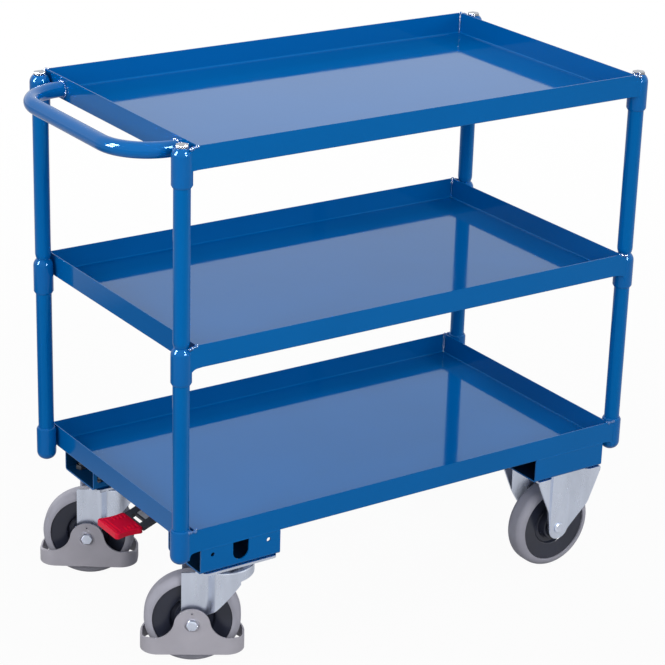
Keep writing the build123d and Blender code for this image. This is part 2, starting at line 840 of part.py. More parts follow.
# Foot guards: a moulded ring round the tyre whose sides rise in a bell to the axle
def make_guard(castor, label):
    bell_turn = degrees(acos(1 - bell_rise / (bell_radius + dip_radius)))
    bell_half = (bell_radius + dip_radius) * sin(radians(bell_turn))
    band_top = guard_clearance + guard_band - axle_height
    end_top = band_top - guard_end_drop
    height = guard_band + bell_rise
    plate_inner = guard_half - guard_wall
    with BuildPart() as guard:
        with BuildSketch(castor.plan(guard_clearance)):
            RectangleRounded(guard_length, guard_width, guard_corner)
            RectangleRounded(
                guard_length - 2 * guard_wall,
                guard_width - 2 * guard_wall,
                guard_corner - guard_wall,
                mode=Mode.SUBTRACT,
            )
        extrude(amount=height)
        with BuildSketch(castor.roll):
            with BuildLine():
                rise = JernArc((-bell_half, band_top), (1, 0), dip_radius, bell_turn)
                bell = JernArc(rise @ 1, rise % 1, bell_radius, -2 * bell_turn)
                fall = JernArc(bell @ 1, bell % 1, dip_radius, bell_turn)
                tail = TangentArc(fall @ 1, (guard_length / 2, end_top), tangent=(1, 0))
                nose = TangentArc(rise @ 0, (-guard_length / 2, end_top), tangent=(-1, 0))
                Polyline(
                    tail @ 1,
                    (guard_length / 2, end_top + height),
                    (-guard_length / 2, end_top + height),
                    nose @ 1,
                )
            make_face()
        extrude(amount=guard_width, both=True, mode=Mode.SUBTRACT)
        for side in (1, -1):
            with BuildSketch(castor.roll.offset(side * (leg_offset + fit_gap))):
                Circle(guard_boss / 2)
            extrude(amount=side * (plate_inner - leg_offset))
            with BuildSketch(castor.roll.offset(side * guard_half)):
                Circle(guard_dimple / 2)
            extrude(amount=-side * guard_dimple_depth, mode=Mode.SUBTRACT)
        with BuildSketch(castor.roll):
            Circle(axle_bolt_diameter / 2 + bolt_gap)
            with Locations((0, guard_pin_height)):
                Circle(guard_pin_hole / 2)
        extrude(amount=guard_width, both=True, mode=Mode.SUBTRACT)
    write(guard, label)


for name, castor in swivel.items():
    make_guard(castor, f"guard_{name}")


# Brake shoe over the tyre, pushed down by a plunger through the kingpin
def make_brake(castor, name):
    shoe_inner = wheel_diameter / 2 + shoe_gap
    shoe_outer = shoe_inner + shoe_thickness
    middle = degrees(acos(trail / (wheel_diameter / 2)))
    start = middle - shoe_span / 2
    with BuildPart() as shoe:
        with BuildSketch(castor.roll):
            with BuildLine():
                inner = CenterArc((0, 0), shoe_inner, start, shoe_span)
                outer = CenterArc((0, 0), shoe_outer, start, shoe_span)
                Line(inner @ 0, outer @ 0)
                Line(inner @ 1, outer @ 1)
            make_face()
        extrude(amount=shoe_width / 2, both=True)
    write(shoe, f"brake_shoe_{name}")

    plunger_top = shaft_height - cam_radius - cam_gap
    with BuildPart() as plunger:
        with BuildSketch(level(axle_height, castor.x, castor.y)):
            Circle(plunger_diameter / 2)
        extrude(amount=plunger_top - axle_height)
        with BuildSketch(castor.roll):
            Circle(shoe_outer + fit_gap)
        extrude(amount=shoe_width, both=True, mode=Mode.SUBTRACT)
    write(plunger, f"brake_plunger_{name}")


for name, castor in swivel.items():
    make_brake(castor, name)

# Brake shaft with its cams, carried in bushes by two hangers under the lower tray
shaft_low = near_y - shaft_end
shaft_radius = shaft_diameter / 2
with BuildPart() as brake_shaft:
    with BuildSketch(upright(shaft_x, shaft_low, shaft_height)):
        Circle(shaft_radius)
    extrude(amount=-(far_y - near_y + 2 * shaft_end))
write(brake_shaft, "brake_shaft")

with BuildPart() as brake_cams:
    for y in (near_y, far_y):
        with BuildSketch(upright(shaft_x, y, shaft_height)):
            with Locations((-cam_eccentricity, 0)):
                Circle(cam_radius)
            Circle(shaft_radius + fit_gap, mode=Mode.SUBTRACT)
        extrude(amount=cam_width / 2, both=True)
write(brake_cams, "brake_cams")

bush_radius = shaft_radius + running_gap + bush_wall
hanger_offset = bracket_width / 2 + hanger_gap
hanger_ys = (near_y + hanger_offset, far_y - hanger_offset)
with BuildPart() as shaft_hangers:
    for y in hanger_ys:
        with BuildSketch(upright(shaft_x, y, shaft_height)):
            Circle(hanger_width / 2)
            Rectangle(hanger_width, lower_base - shaft_height, align=(Align.CENTER, Align.MIN))
            Circle(bush_radius + fit_gap, mode=Mode.SUBTRACT)
        extrude(amount=hanger_plate / 2, both=True)
write(shaft_hangers, "shaft_hangers")

with BuildPart() as shaft_bushes:
    for y in hanger_ys:
        with BuildSketch(upright(shaft_x, y, shaft_height)):
            Circle(bush_radius)
            Circle(shaft_radius + running_gap, mode=Mode.SUBTRACT)
        extrude(amount=bush_length / 2, both=True)
write(shaft_bushes, "shaft_bushes")

# Pedal: a lever frame on the shaft, a plated tongue in its window and the pad pushed onto its front tab
lever_plane = upright(shaft_x, pedal_y, shaft_height)
pad_x = -bracket_x - pad_back
lever_run = shaft_x - pad_x
lever_slope = degrees(atan2(pad_drop, lever_run))
lever_length = sqrt(lever_run**2 + pad_drop**2)
lever_face = Plane(
    lever_plane.origin,
    x_dir=(-lever_run, 0, -pad_drop),
    z_dir=(-pad_drop, 0, lever_run),
)
slot_start = lever_length - lever_edge - lever_slot
window_end = slot_start - lever_bar
with BuildPart() as pedal_lever:
    with BuildSketch(lever_plane):
        Rectangle(
            lever_length, lever_thickness, rotation=lever_slope, align=(Align.MAX, Align.CENTER)
        )
        with Locations((-lever_run, 0)):
            Rectangle(lever_thickness, 2 * lever_run, align=(Align.MAX, Align.CENTER), mode=Mode.SUBTRACT)
    extrude(amount=lever_width / 2, both=True)
    with BuildSketch(lever_face):
        Rectangle(window_end, lever_window, align=(Align.MIN, Align.CENTER))
        with Locations((slot_start, 0)):
            Rectangle(lever_slot, lever_window, align=(Align.MIN, Align.CENTER))
    extrude(amount=lever_thickness, both=True, mode=Mode.SUBTRACT)
    with BuildSketch(lever_plane):
        Circle(lever_hub / 2)
    extrude(amount=lever_width / 2, both=True)
    with BuildSketch(lever_plane):
        with Locations((-lever_run + insert_thickness, -pad_drop)):
            Rectangle(
                insert_thickness + insert_length, insert_thickness, align=(Align.MAX, Align.CENTER)
            )
    extrude(amount=insert_width / 2, both=True)
    with BuildSketch(lever_plane):
        Circle(shaft_radius + fit_gap)
    extrude(amount=lever_width / 2, both=True, mode=Mode.SUBTRACT)
write(pedal_lever, "pedal_lever")

with BuildPart() as pedal_tongue:
    with BuildSketch(lever_face):
        Rectangle(
            window_end - tongue_gap, lever_window - 2 * tongue_gap, align=(Align.MIN, Align.CENTER)
        )
    extrude(amount=tongue_thickness / 2, both=True)
    with BuildSketch(lever_plane):
        Circle(lever_hub / 2 + fit_gap)
    extrude(amount=lever_width / 2, both=True, mode=Mode.SUBTRACT)
write(pedal_tongue, "pedal_tongue")

pad_low = shaft_height - pad_drop - pad_thickness / 2
pad_top = pad_low + pad_thickness
with BuildPart() as pedal_pad:
    with BuildSketch(level(pad_low, pad_x - fit_gap, pedal_y)) as pad_outline:
        with BuildLine():
            back = Line((0, -pad_width / 2), (0, pad_width / 2))
            front = Line((-pad_depth, pad_width / 2), (-pad_depth, -pad_width / 2))
            ThreePointArc(back @ 1, (-pad_depth / 2, pad_width / 2 - pad_waist), front @ 0)
            ThreePointArc(front @ 1, (-pad_depth / 2, pad_waist - pad_width / 2), back @ 0)
        make_face()
        fillet(pad_outline.vertices(), pad_corner)
    extrude(amount=pad_thickness)
    fillet(pedal_pad.faces().sort_by(Axis.Z)[-1].edges(), pad_edge)
    with BuildSketch(level(pad_top, pad_x - pad_depth + pad_corner, pedal_y)):
        with Locations((pad_rib_spacing / 2, 0)):
            with GridLocations(pad_rib_spacing, 0, 2, 1):
                SlotOverall(pad_rib_length, pad_rib_width, rotation=90)
    extrude(amount=pad_rib_height)
    with BuildSketch(level(pad_top, pad_x - pad_corner, pedal_y)):
        with Locations(((1 - pad_dash_rows) * pad_rib_spacing / 2, 0)):
            with GridLocations(pad_rib_spacing, pad_dash_spacing, pad_dash_rows, 2):
                SlotOverall(pad_dash_length, pad_rib_width, rotation=90)
    extrude(amount=pad_rib_height)
    with BuildSketch(upright(pad_x, pedal_y, shaft_height - pad_drop)):
        Rectangle(
            insert_length + fit_gap,
            insert_thickness + 2 * fit_gap,
            align=(Align.MAX, Align.CENTER),
        )
    extrude(amount=insert_width / 2 + fit_gap, both=True, mode=Mode.SUBTRACT)
write(pedal_pad, "pedal_pad")
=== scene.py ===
import json
import math
from functools import partial

import bmesh
import bpy
from mathutils import Matrix, Vector


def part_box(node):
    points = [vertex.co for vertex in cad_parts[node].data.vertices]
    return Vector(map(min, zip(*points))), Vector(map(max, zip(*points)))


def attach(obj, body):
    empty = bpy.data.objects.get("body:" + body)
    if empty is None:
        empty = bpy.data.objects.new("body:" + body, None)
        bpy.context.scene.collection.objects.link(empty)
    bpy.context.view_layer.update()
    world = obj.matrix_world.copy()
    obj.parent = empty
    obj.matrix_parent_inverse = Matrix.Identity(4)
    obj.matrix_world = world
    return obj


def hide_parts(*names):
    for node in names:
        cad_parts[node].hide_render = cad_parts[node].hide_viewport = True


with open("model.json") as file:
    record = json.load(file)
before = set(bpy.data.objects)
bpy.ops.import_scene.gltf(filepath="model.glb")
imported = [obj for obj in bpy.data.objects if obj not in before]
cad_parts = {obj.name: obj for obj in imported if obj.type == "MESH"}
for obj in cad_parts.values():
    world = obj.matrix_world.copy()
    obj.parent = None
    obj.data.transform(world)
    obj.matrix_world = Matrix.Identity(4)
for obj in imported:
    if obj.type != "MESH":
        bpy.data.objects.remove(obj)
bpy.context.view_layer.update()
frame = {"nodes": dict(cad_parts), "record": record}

bl_info = {
    "name": "Shelf trolley finishes",
    "version": (1, 0, 0),
    "blender": (4, 5, 0),
    "location": "View3D > Sidebar > Trolley",
    "description": "Finishes, rounded edges and a studio for a three-tier shelf trolley",
    "category": "Object",
}

# Taken from the frame
NODES = frame["nodes"]
RECORD = frame["record"]
BODY_OF = {node: body for body, nodes in RECORD["behaviour"]["bodies"].items() for node in nodes}
SLOT_OF = {part["node"]: part["material_slot"] for part in RECORD["subparts"]}
FLOORS = {mount["name"].removesuffix("_deck"): mount["pos_m"][2] for mount in RECORD["mounts"]}
TRAYS = ("top", "middle", "lower")
SIDES = ("near", "far")
KINDS = ("swivel", "fixed")
PAINT_SLOT = "blue_powder_coat"

# Angles in degrees that tell sharp, soft and flat edges apart, and the gap over which corners are joined
EDGE_ANGLE = 32.0
TURNED_ANGLE = 25.0
SMOOTH_ANGLE = 50.0
FLAT_ANGLE = 0.6
JOIN_GAP = 0.00001

# Folds, and the depth of the notch at the ears of each tray
FOLD_STEPS = 6
EAR_DROP = {"top": 0.010, "middle": 0.010, "lower": 0.002}

# Weld beads, as shares of a bead's radius, with the height and pace of the waves that make it uneven
SEAM_SIZE = 0.8
LUMP_SIZE = 1.3
BEAD_INSET = 0.7
BEAD_LIFT = 0.6
DROP_SIZE = 0.85
DROP_WAVES = ((0.2, 2.4), (0.12, 5.3))
RING_DROPS = 20
SEAM_SIDES = 12

# Finishes, with the painted shade inside the brackets, darker on the near side, and how far down a dull
# underside faces
METAL = {"Metallic": 1.0}
PAINT_IOR = 1.45
HOLLOW_PAINTED_SHADE = {"near": 0.08, "far": 0.25}
UNDERSIDE = (-0.5, -0.9)
GLOSS_TO_PATCH = 2.3
FINE_TO_COARSE = 3.7
RELIEF_STRENGTH = 0.6

# Lamps, and the panels that show as spots in the rounded pieces
WHITE = (1.0, 1.0, 1.0, 1.0)
AIM = Vector((0.0, 0.0, 0.45))
LAMP_WIDTH = 1.6
LAMPS = {
    "Front": (-0.6, -3.2, 2.0),
    "Left": (-3.4, -0.6, 2.1),
    "Right": (3.3, -1.2, 2.1),
    "Back": (0.6, 3.4, 2.0),
    "Top": (0.0, 0.0, 3.4),
}
SPARKLING = "Sparkling"
SPARK_REACH = 0.45
SPARKS = ((-3.1, 0.55, 1.7), (-2.8, 0.5, 2.9), (0.55, -3.1, 1.7), (0.5, -2.8, 2.9))

# Floor, with the distances over which its white and its dark card fade
FLOOR_REACH = 12.0
FLOOR_MIDDLE = (0.0, 0.0, 0.0)
FLOOR_FADE = (0.8, 3.0)
FLOOR_SHARE = 0.96
CARD_PLACE = (-1.15, 0.85, 0.0)
CARD_FADE = (0.9, 0.45)

# Width of the camera's sensor in millimetres
SENSOR = 36.0


class TrolleyFinishes(bpy.types.PropertyGroup):
    """Colours of the trolley's finishes."""

    paint: bpy.props.FloatVectorProperty(
        name="Paint",
        description="Glossy powder coat on the trays, tubes and brackets",
        subtype="COLOR",
        min=0.0,
        max=1.0,
        default=(0.0, 0.105, 0.352),
    )
    dull_paint: bpy.props.FloatProperty(
        name="Dull paint",
        description="Roughness of the thin paint under the trays and inside the castor brackets",
        min=0.0,
        max=1.0,
        default=0.7,
    )
    zinc: bpy.props.FloatVectorProperty(
        name="Zinc",
        description="Bright zinc plate on the forks and fasteners",
        subtype="COLOR",
        min=0.0,
        max=1.0,
        default=(0.75, 0.81, 0.935),
    )
    tyre: bpy.props.FloatVectorProperty(
        name="Tyre",
        description="Grey rubber of the tyres",
        subtype="COLOR",
        min=0.0,
        max=1.0,
        default=(0.33, 0.33, 0.385),
    )
    hub: bpy.props.FloatVectorProperty(
        name="Hub",
        description="Dark moulded wheel hubs",
        subtype="COLOR",
        min=0.0,
        max=1.0,
        default=(0.02, 0.023, 0.038),
    )
    guard: bpy.props.FloatVectorProperty(
        name="Guard",
        description="Grey moulded foot guards",
        subtype="COLOR",
        min=0.0,
        max=1.0,
        default=(0.37, 0.36, 0.405),
    )
    pad: bpy.props.FloatVectorProperty(
        name="Pedal pad",
        description="Red moulded pedal pad",
        subtype="COLOR",
        min=0.0,
        max=1.0,
        default=(0.67, 0.003, 0.032),
    )
    lever: bpy.props.FloatVectorProperty(
        name="Lever",
        description="Dark coated lever, cams and shoes",
        subtype="COLOR",
        min=0.0,
        max=1.0,
        default=(0.055, 0.058, 0.07),
    )


class TrolleyShapes(bpy.types.PropertyGroup):
    """Sizes of the edges, folds and welds that the finishes add."""

    sheet_edge: bpy.props.FloatProperty(
        name="Sheet edge",
        description="Rounding on cut sheet edges",
        unit="LENGTH",
        min=0.0,
        default=0.0004,
    )
    press_edge: bpy.props.FloatProperty(
        name="Pressing edge",
        description="Rounding on the edges of thick pressings and fasteners",
        unit="LENGTH",
        min=0.0,
        default=0.0007,
    )
    mould_edge: bpy.props.FloatProperty(
        name="Moulding edge",
        description="Rounding on the edges of plastic mouldings",
        unit="LENGTH",
        min=0.0,
        default=0.0009,
    )
    bolt_edge: bpy.props.FloatProperty(
        name="Bolt edge",
        description="Rounding on the heads of the large bolts and on the hubs",
        unit="LENGTH",
        min=0.0,
        default=0.0012,
    )
    sleeve_radius: bpy.props.FloatProperty(
        name="Sleeve radius",
        description="Outer radius of the corner sleeves",
        unit="LENGTH",
        default=0.01685,
    )
    weld_radius: bpy.props.FloatProperty(
        name="Weld radius",
        description="Size of the drops that make up a weld bead",
        unit="LENGTH",
        min=0.0005,
        default=0.0026,
    )
    corner_radius: bpy.props.FloatProperty(
        name="Corner weld radius",
        description="Size of the drops in the inner corners of the trays",
        unit="LENGTH",
        min=0.0005,
        default=0.0018,
    )
    fold_radius: bpy.props.FloatProperty(
        name="Fold radius",
        description="Inner rounding where a tray floor turns up into its walls",
        unit="LENGTH",
        min=0.0005,
        default=0.003,
    )
    ear_run: bpy.props.FloatProperty(
        name="Ear run",
        description="How far the side walls run on past the end walls to the sleeves",
        unit="LENGTH",
        default=0.0114,
    )
    sheet: bpy.props.FloatProperty(
        name="Sheet",
        description="Thickness of the tray sheet",
        unit="LENGTH",
        default=0.0015,
    )
    bracket_wall: bpy.props.FloatProperty(
        name="Bracket wall",
        description="Depth from the outside of a castor bracket at which its inside begins",
        unit="LENGTH",
        default=0.0028,
    )


class TrolleyStudio(bpy.types.PropertyGroup):
    """Camera and light of the studio."""

    eye: bpy.props.FloatVectorProperty(
        name="Camera place",
        description="Where the camera stands",
        subtype="TRANSLATION",
        unit="LENGTH",
        default=(-2.05635, -3.05689, 1.904),
    )
    azimuth: bpy.props.FloatProperty(
        name="Azimuth",
        description="Turn of the camera round the trolley",
        unit="ROTATION",
        default=math.radians(-34.32),
    )
    elevation: bpy.props.FloatProperty(
        name="Elevation",
        description="Angle of the camera over the floor",
        unit="ROTATION",
        default=math.radians(21.53),
    )
    roll: bpy.props.FloatProperty(
        name="Roll",
        description="Lean of the camera",
        unit="ROTATION",
        default=math.radians(1.74),
    )
    lens: bpy.props.FloatProperty(
        name="Lens",
        description="Focal length on a 36 mm sensor",
        unit="CAMERA",
        default=124.13,
    )
    front_power: bpy.props.FloatProperty(
        name="Front power",
        description="Power of the lamp beside the camera",
        unit="POWER",
        default=60.0,
    )
    left_power: bpy.props.FloatProperty(
        name="Left power",
        description="Power of the lamp at the handle end",
        unit="POWER",
        default=66.0,
    )
    right_power: bpy.props.FloatProperty(
        name="Right power",
        description="Power of the lamp at the other end",
        unit="POWER",
        default=42.0,
    )
    back_power: bpy.props.FloatProperty(
        name="Back power",
        description="Power of the lamp behind the trolley, which lights the shelves",
        unit="POWER",
        default=85.0,
    )
    top_power: bpy.props.FloatProperty(
        name="Top power",
        description="Power of the lamp over the top tray",
        unit="POWER",
        default=15.0,
    )
    spark: bpy.props.FloatProperty(
        name="Spark",
        description="Brightness of the panels that only show as mirror spots",
        min=0.0,
        default=80.0,
    )
    room: bpy.props.FloatProperty(
        name="Room light",
        description="Strength of the even light all round",
        min=0.0,
        default=0.4,
    )
    floor_mirror: bpy.props.FloatProperty(
        name="Floor in mirrors",
        description="Share of white that glossy surfaces see in the floor",
        subtype="FACTOR",
        min=0.0,
        max=1.0,
        default=0.36,
    )
    card: bpy.props.FloatProperty(
        name="Card",
        description="Brightness in mirrors of the dark card that lies behind the handle end",
        subtype="FACTOR",
        min=0.0,
        max=1.0,
        default=0.12,
    )
    floor: bpy.props.FloatVectorProperty(
        name="Floor",
        description="Colour of the studio floor",
        subtype="COLOR",
        min=0.0,
        max=1.0,
        default=(0.33, 0.33, 0.34),
    )


# Shader nodes and groups


def ramp_over(tree, start, end):
    """Map Range node that rises from nothing at a start to one at an end."""
    ramp = tree.nodes.new("ShaderNodeMapRange")
    ramp.inputs["From Min"].default_value = start
    ramp.inputs["From Max"].default_value = end
    return ramp


def join(tree, operation, first, second):
    """What a math operation makes of two sockets."""
    node = tree.nodes.new("ShaderNodeMath")
    node.operation = operation
    tree.links.new(first, node.inputs[0])
    tree.links.new(second, node.inputs[1])
    return node.outputs[0]


def blend(tree, first, second, factor):
    """Value that goes from a first to a second one, each a number or a socket, with a factor."""
    mix = tree.nodes.new("ShaderNodeMix")
    for label, given in (("A", first), ("B", second)):
        if isinstance(given, float):
            mix.inputs[label].default_value = given
        else:
            tree.links.new(given, mix.inputs[label])
    tree.links.new(factor, mix.inputs["Factor"])
    return mix.outputs["Result"]


def new_group(name, inputs, output):
    """Empty shader group with float inputs (name, default) and one float output."""
    group = bpy.data.node_groups.new(name, "ShaderNodeTree")
    for label, default in inputs:
        socket = group.interface.new_socket(label, in_out="INPUT", socket_type="NodeSocketFloat")
        socket.default_value = default
    group.interface.new_socket(output, in_out="OUTPUT", socket_type="NodeSocketFloat")
    return group, group.nodes.new("NodeGroupInput"), group.nodes.new("NodeGroupOutput")


def mottle_group():
    """Soft patches, drawn out along Z by a small Stretch, as a value between Low and High."""
    inputs = (("Scale", 20.0), ("Low", 0.0), ("High", 1.0), ("Stretch", 1.0))
    group, given, result = new_group("Mottle", inputs, "Value")
    place = group.nodes.new("ShaderNodeTexCoord")
    noise = group.nodes.new("ShaderNodeTexNoise")
    noise.inputs["Detail"].default_value = 4.0
    spread = ramp_over(group, 0.3, 0.7)
    across = group.nodes.new("ShaderNodeCombineXYZ")
    across.inputs["X"].default_value = 1.0
    across.inputs["Y"].default_value = 1.0
    drawn = group.nodes.new("ShaderNodeVectorMath")
    drawn.operation = "MULTIPLY"
    group.links.new(given.outputs["Stretch"], across.inputs["Z"])
    group.links.new(place.outputs["Object"], drawn.inputs[0])
    group.links.new(across.outputs["Vector"], drawn.inputs[1])
    group.links.new(drawn.outputs["Vector"], noise.inputs["Vector"])
    group.links.new(given.outputs["Scale"], noise.inputs["Scale"])
    group.links.new(noise.outputs["Fac"], spread.inputs["Value"])
    group.links.new(given.outputs["Low"], spread.inputs["To Min"])
    group.links.new(given.outputs["High"], spread.inputs["To Max"])
    group.links.new(spread.outputs["Result"], result.inputs["Value"])
    return group


def grain_group():
    """Fine moulded or sprayed texture as a height, from a coarse and a fine noise."""
    inputs = (("Coarse", 400.0), ("Fine", 1600.0), ("Share", 0.35))
    group, given, result = new_group("Grain", inputs, "Height")
    place = group.nodes.new("ShaderNodeTexCoord")
    layers = []
    for label in ("Coarse", "Fine"):
        noise = group.nodes.new("ShaderNodeTexNoise")
        noise.inputs["Detail"].default_value = 2.0
        group.links.new(place.outputs["Object"], noise.inputs["Vector"])
        group.links.new(given.outputs[label], noise.inputs["Scale"])
        layers.append(noise.outputs["Fac"])
    group.links.new(blend(group, *layers, given.outputs["Share"]), result.inputs["Height"])
    return group


def hollow_group():
    """Mask of the space of an open channel along X, between two Y and above one Z, where the brackets
    get painted shade.
    """
    inputs = (("Low Y", 0.0), ("High Y", 1.0), ("Low Z", 0.0))
    group, given, result = new_group("Hollow", inputs, "Mask")
    place = group.nodes.new("ShaderNodeTexCoord")
    parts = group.nodes.new("ShaderNodeSeparateXYZ")
    group.links.new(place.outputs["Object"], parts.inputs["Vector"])
    behind = join(group, "GREATER_THAN", parts.outputs["Y"], given.outputs["Low Y"])
    before = join(group, "LESS_THAN", parts.outputs["Y"], given.outputs["High Y"])
    above = join(group, "GREATER_THAN", parts.outputs["Z"], given.outputs["Low Z"])
    between = join(group, "MINIMUM", behind, before)
    group.links.new(join(group, "MINIMUM", between, above), result.inputs["Mask"])
    return group


def shared_group(name):
    """One of the shared groups, built the first time it is asked for."""
    made = bpy.data.node_groups.get(name)
    return made or {"Mottle": mottle_group, "Grain": grain_group, "Hollow": hollow_group}[name]()


def place_group(material, name, values):
    """Adds a shared group to a material and sets its inputs."""
    node = material.node_tree.nodes.new("ShaderNodeGroup")
    node.node_tree = shared_group(name)
    for label, value in values.items():
        node.inputs[label].default_value = value
    return node


def overlay(material, label, value, mask):
    """Puts a value in place of what feeds an input of a material's shader, where a mask is one."""
    tree = material.node_tree
    socket = tree.nodes["Principled BSDF"].inputs[label]
    mix = tree.nodes.new("ShaderNodeMix")
    mix.data_type = "RGBA" if socket.type == "RGBA" else "FLOAT"
    mix.inputs["B"].default_value = value
    tree.links.new(mask, mix.inputs["Factor"])
    tree.links.new(socket.links[0].from_socket, mix.inputs["A"])
    tree.links.new(mix.outputs["Result"], socket)


# Finishes


def shade(colour, factor):
    """Lighter or darker colour of the same hue, opaque."""
    return (*(min(1.0, channel * factor) for channel in colour), 1.0)


def finish(name, colour, spread, patch, rough, grain, bump, settings=None, stretch=1.0):
    """Material with patches of two tones, an uneven roughness and a fine grain."""
    made = bpy.data.materials.get("finish_" + name)
    if made:
        return made
    material = bpy.data.materials.new("finish_" + name)
    material.use_nodes = True
    links = material.node_tree.links
    shader = material.node_tree.nodes["Principled BSDF"]
    for label, value in (settings or {}).items():
        shader.inputs[label].default_value = value
    tone = material.node_tree.nodes.new("ShaderNodeMix")
    tone.data_type = "RGBA"
    tone.inputs["A"].default_value = shade(colour, 1.0 - spread)
    tone.inputs["B"].default_value = shade(colour, 1.0 + spread)
    patches = place_group(material, "Mottle", {"Scale": patch, "Stretch": stretch})
    links.new(patches.outputs["Value"], tone.inputs["Factor"])
    links.new(tone.outputs["Result"], shader.inputs["Base Color"])
    uneven = {"Scale": GLOSS_TO_PATCH * patch, "Low": rough[0], "High": rough[1], "Stretch": stretch}
    gloss = place_group(material, "Mottle", uneven)
    links.new(gloss.outputs["Value"], shader.inputs["Roughness"])
    texture = place_group(material, "Grain", {"Coarse": grain, "Fine": FINE_TO_COARSE * grain})
    relief = material.node_tree.nodes.new("ShaderNodeBump")
    relief.inputs["Distance"].default_value = bump
    relief.inputs["Strength"].default_value = RELIEF_STRENGTH
    links.new(texture.outputs["Height"], relief.inputs["Height"])
    links.new(relief.outputs["Normal"], shader.inputs["Normal"])
    return material


def coat(name, red=0.1):
    """Glossy powder coat with a slight orange peel, whose mirror image holds more or less red."""
    return finish(
        name,
        bpy.context.scene.trolley_finishes.paint,
        spread=0.03,
        patch=6.0,
        rough=(0.04, 0.08),
        grain=350.0,
        bump=0.000008,
        settings={"Specular Tint": (red, 0.62, 1.0, 1.0), "IOR": PAINT_IOR},
    )


def paint():
    """Paint of the posts, the shaft hangers, the folds and the smooth seams."""
    return coat(PAINT_SLOT)


def bright_paint():
    """Paint of the sleeves and the handle, with whiter mirror spots."""
    return coat("bright_paint", red=0.35)


def tray_paint():
    """Paint of the trays, thin and dull on their undersides."""
    made = bpy.data.materials.get("finish_tray_paint")
    if made:
        return made
    material = coat("tray_paint")
    tree = material.node_tree
    facing = tree.nodes.new("ShaderNodeNewGeometry")
    parts = tree.nodes.new("ShaderNodeSeparateXYZ")
    under = ramp_over(tree, *UNDERSIDE)
    tree.links.new(facing.outputs["Normal"], parts.inputs["Vector"])
    tree.links.new(parts.outputs["Z"], under.inputs["Value"])
    dull = bpy.context.scene.trolley_finishes.dull_paint
    overlay(material, "Roughness", dull, under.outputs["Result"])
    return material


def hollow_shade_paint(side):
    """Paint of the castor brackets on one side, with painted shade and a dull roughness inside the
    channels.
    """
    made = bpy.data.materials.get(f"finish_thin_paint_{side}")
    if made:
        return made
    material = coat(f"thin_paint_{side}")
    looks = bpy.context.scene.trolley_finishes
    wall = bpy.context.scene.trolley_shapes.bracket_wall
    low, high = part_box(f"swivel_bracket_{side}")
    space = {"Low Y": low.y + wall, "High Y": high.y - wall, "Low Z": low.z + wall}
    inside = place_group(material, "Hollow", space).outputs["Mask"]
    # Painted shade: the base colour inside the channels is darkened, more on the near side, to stand for
    # the shade in them
    overlay(material, "Base Color", shade(looks.paint, HOLLOW_PAINTED_SHADE[side]), inside)
    overlay(material, "Roughness", looks.dull_paint, inside)
    return material


def weld_paint():
    """Paint pooled on a weld, thick and very glossy."""
    return finish(
        "pooled_paint",
        bpy.context.scene.trolley_finishes.paint,
        spread=0.03,
        patch=6.0,
        rough=(0.05, 0.1),
        grain=900.0,
        bump=0.000008,
        settings={"IOR": PAINT_IOR, "Coat Weight": 1.0, "Coat Roughness": 0.05, "Coat IOR": 1.9},
    )


def zinc():
    """Bright zinc plate with cloudy streaks."""
    return finish(
        "zinc_plate",
        bpy.context.scene.trolley_finishes.zinc,
        spread=0.07,
        patch=45.0,
        rough=(0.24, 0.38),
        grain=900.0,
        bump=0.000004,
        settings=METAL,
        stretch=0.25,
    )


def bolt_zinc():
    """Duller zinc on the bolts of the posts."""
    return finish(
        "zinc_bolts",
        (0.4, 0.42, 0.46),
        spread=0.12,
        patch=90.0,
        rough=(0.22, 0.34),
        grain=900.0,
        bump=0.00001,
        settings=METAL,
    )


def nut_zinc():
    """Dark zinc on the nuts and bolts of the castor plates."""
    return finish(
        "zinc_nuts",
        (0.2, 0.21, 0.23),
        spread=0.12,
        patch=90.0,
        rough=(0.48, 0.6),
        grain=900.0,
        bump=0.00001,
        settings=METAL,
    )


def tongue_zinc():
    """Dull zinc on the tongue of the pedal."""
    return finish(
        "zinc_tongue",
        (0.42, 0.43, 0.46),
        spread=0.1,
        patch=90.0,
        rough=(0.4, 0.5),
        grain=900.0,
        bump=0.00001,
        settings={"Metallic": 0.35},
    )


def tyre_rubber():
    """Matt grey rubber."""
    return finish(
        "grey_tyre",
        bpy.context.scene.trolley_finishes.tyre,
        spread=0.07,
        patch=30.0,
        rough=(0.5, 0.66),
        grain=1400.0,
        bump=0.00004,
    )


def hub_plastic():
    """Dark, fairly glossy moulding of the hubs."""
    return finish(
        "dark_hub",
        bpy.context.scene.trolley_finishes.hub,
        spread=0.06,
        patch=35.0,
        rough=(0.2, 0.24),
        grain=1800.0,
        bump=0.00001,
    )


def guard_plastic():
    """Grey satin moulding of the foot guards."""
    return finish(
        "grey_guard",
        bpy.context.scene.trolley_finishes.guard,
        spread=0.05,
        patch=28.0,
        rough=(0.42, 0.54),
        grain=2000.0,
        bump=0.00003,
    )


def pad_plastic():
    """Red satin moulding of the pedal pad."""
    return finish(
        "red_pad",
        bpy.context.scene.trolley_finishes.pad,
        spread=0.08,
        patch=50.0,
        rough=(0.34, 0.46),
        grain=1700.0,
        bump=0.00003,
        settings={"Specular IOR Level": 0.3},
    )


def lever_coat():
    """Dark satin coating on the brake's steel."""
    return finish(
        "dark_steel",
        bpy.context.scene.trolley_finishes.lever,
        spread=0.12,
        patch=40.0,
        rough=(0.36, 0.5),
        grain=1200.0,
        bump=0.00002,
        settings={"Metallic": 0.3},
    )


def bearing_steel():
    """Ground steel of the balls and bearings."""
    return finish(
        "bearing_steel",
        (0.5, 0.5, 0.52),
        spread=0.05,
        patch=60.0,
        rough=(0.18, 0.28),
        grain=1500.0,
        bump=0.000005,
        settings=METAL,
    )


def bush_plastic():
    """Black moulding of the shaft's bushes."""
    return finish(
        "dark_bush",
        (0.02, 0.02, 0.022),
        spread=0.1,
        patch=50.0,
        rough=(0.4, 0.5),
        grain=1800.0,
        bump=0.00002,
    )


